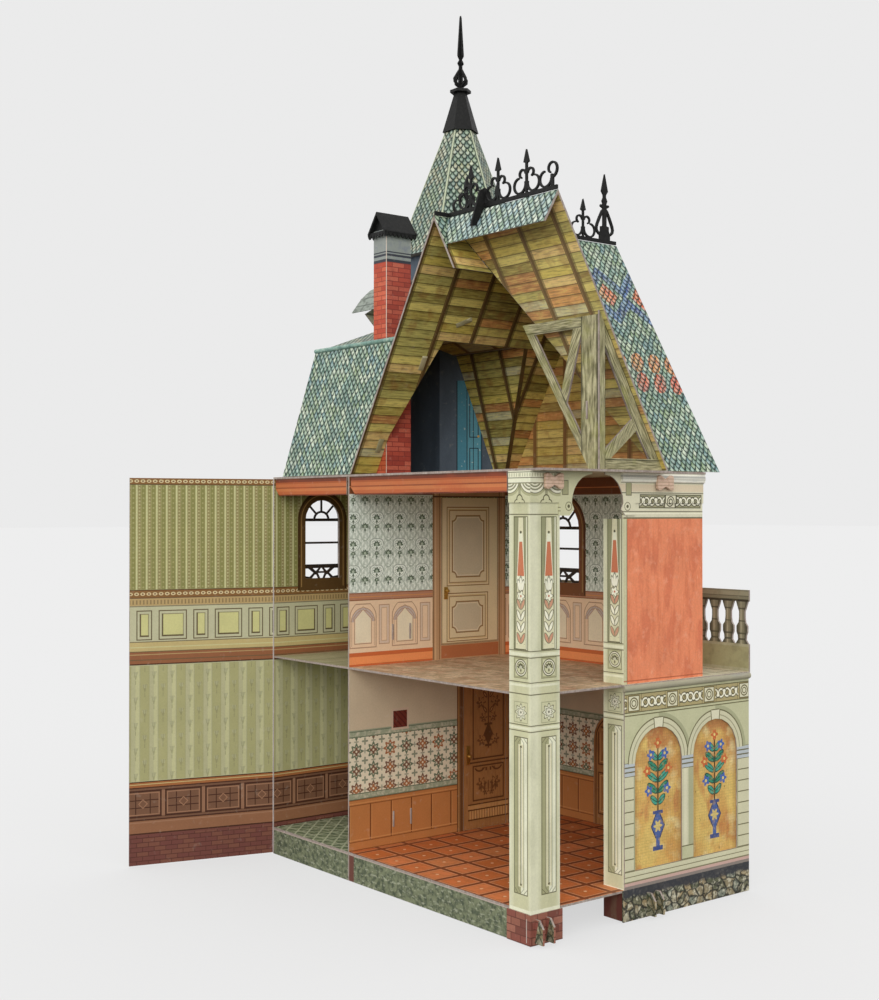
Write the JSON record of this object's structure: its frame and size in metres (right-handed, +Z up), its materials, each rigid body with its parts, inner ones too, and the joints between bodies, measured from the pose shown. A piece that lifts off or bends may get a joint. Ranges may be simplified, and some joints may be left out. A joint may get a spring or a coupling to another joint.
{
  "type": "cardboard dollhouse",
  "caption": "Slot-together card dollhouse, open at the front and one corner, with printed rooms, folded corner column, truss attic, tiled roofs, tower, spire and swinging front panel.",
  "frame": {"origin": "on the table, under the middle of the bounding box with the front panel open as stored", "axes": "+Z up, +X along the open front to the right wall, +Y from the open front to the back"},
  "size_m": [0.4652, 0.4332, 0.9204],
  "materials": {
    "printed_walls": "matt printed card",
    "green_wallpaper": "matt printed card, striped",
    "coral_plaster": "matt printed card, plaster print",
    "cream_stone": "matt printed card, stone print",
    "rubble_stone": "matt printed card, stone print",
    "red_brick": "matt printed card, brick print",
    "floor_boards": "matt printed card, floor print",
    "tile_floor": "matt printed card, tile print",
    "green_marble": "matt printed card, marble print",
    "roof_tiles": "matt printed card, fish-scale tile print",
    "roof_planks": "matt printed card, plank print",
    "grey_timber": "matt printed card, weathered timber print",
    "tower_night_blue": "matt printed card, dark blue",
    "black_iron_card": "matt black card cut as ironwork",
    "panelled_door": "matt printed card, panelled door",
    "carved_door": "matt printed card, carved brown door",
    "brass_pull": "satin brass-coloured pull"
  },
  "bodies": {
    "house": {"left_wall": "green_wallpaper", "partition_wall": "printed_walls", "left_back_wall": "printed_walls", "hall_back_wall_upper": "printed_walls", "hall_back_wall_lower": "printed_walls", "right_wall_lower": "cream_stone", "right_wall_upper": "coral_plaster", "arcade_front": "cream_stone", "stone_base_right": "rubble_stone", "corner_column_lower": "cream_stone", "corner_column_upper": "cream_stone", "column_foot": "red_brick", "column_capital": "cream_stone", "frieze_right": "cream_stone", "cornice_right": "cream_stone", "hall_ground_floor": "tile_floor", "hall_middle_floor": "floor_boards", "left_ground_floor": "green_marble", "left_middle_floor": "floor_boards", "attic_floor": "floor_boards", "front_plinth_hall": "green_marble", "front_plinth_left": "green_marble", "balustrade_rear": "cream_stone", "balustrade_left": "cream_stone", "left_window_lattice": "black_iron_card", "hall_window_lattice": "black_iron_card", "tower_bay_lower": "cream_stone", "tower_wall_upper": "tower_night_blue", "spire": "roof_tiles", "spire_cap": "black_iron_card", "spire_finial": "black_iron_card", "roof_left_slope": "roof_planks", "roof_right_slope": "roof_tiles", "rear_gable_wall": "roof_planks", "roof_front_strip": "roof_tiles", "roof_back_slope": "roof_tiles", "truss_across": "grey_timber", "truss_side": "grey_timber", "mansard_front": "roof_tiles", "mansard_left": "roof_tiles", "mansard_rear": "roof_planks", "mansard_top": "roof_tiles", "chimney_stack": "red_brick", "chimney_cap": "black_iron_card", "dormer_walls": "cream_stone", "dormer_hood": "roof_tiles", "cross_ridge_ironwork": "black_iron_card", "main_ridge_ironwork": "black_iron_card", "ridge_saddle": "black_iron_card", "front_band_hall": "coral_plaster", "front_band_left": "coral_plaster"},
    "front_panel": {"front_wall_panel": "green_wallpaper"},
    "upper_door": {"upper_door_leaf": "panelled_door", "upper_door_knob": "brass_pull"},
    "lower_door": {"lower_door_leaf": "carved_door", "lower_door_knob": "brass_pull"},
    "entrance_door": {"entrance_door_leaf": "carved_door", "entrance_door_knob": "brass_pull"}
  },
  "joints": [
    {"name": "front_panel_hinge", "type": "hinge", "parent": "house", "child": "front_panel", "pos_m": [-0.19136, -0.06974, 0], "axis": [0, 0, 1], "range_deg": [-70, 105]},
    {"name": "upper_door_hinge", "type": "hinge", "parent": "house", "child": "upper_door", "pos_m": [-0.04936, 0.12406, 0.21], "axis": [0, 0, 1], "range_deg": [0, 95]},
    {"name": "lower_door_hinge", "type": "hinge", "parent": "house", "child": "lower_door", "pos_m": [-0.04936, 0.13456, 0.028], "axis": [0, 0, 1], "range_deg": [0, 95]},
    {"name": "entrance_door_hinge", "type": "hinge", "parent": "house", "child": "entrance_door", "pos_m": [0.06964, 0.21156, 0.028], "axis": [0, 0, 1], "range_deg": [-95, 0]}
  ]
}
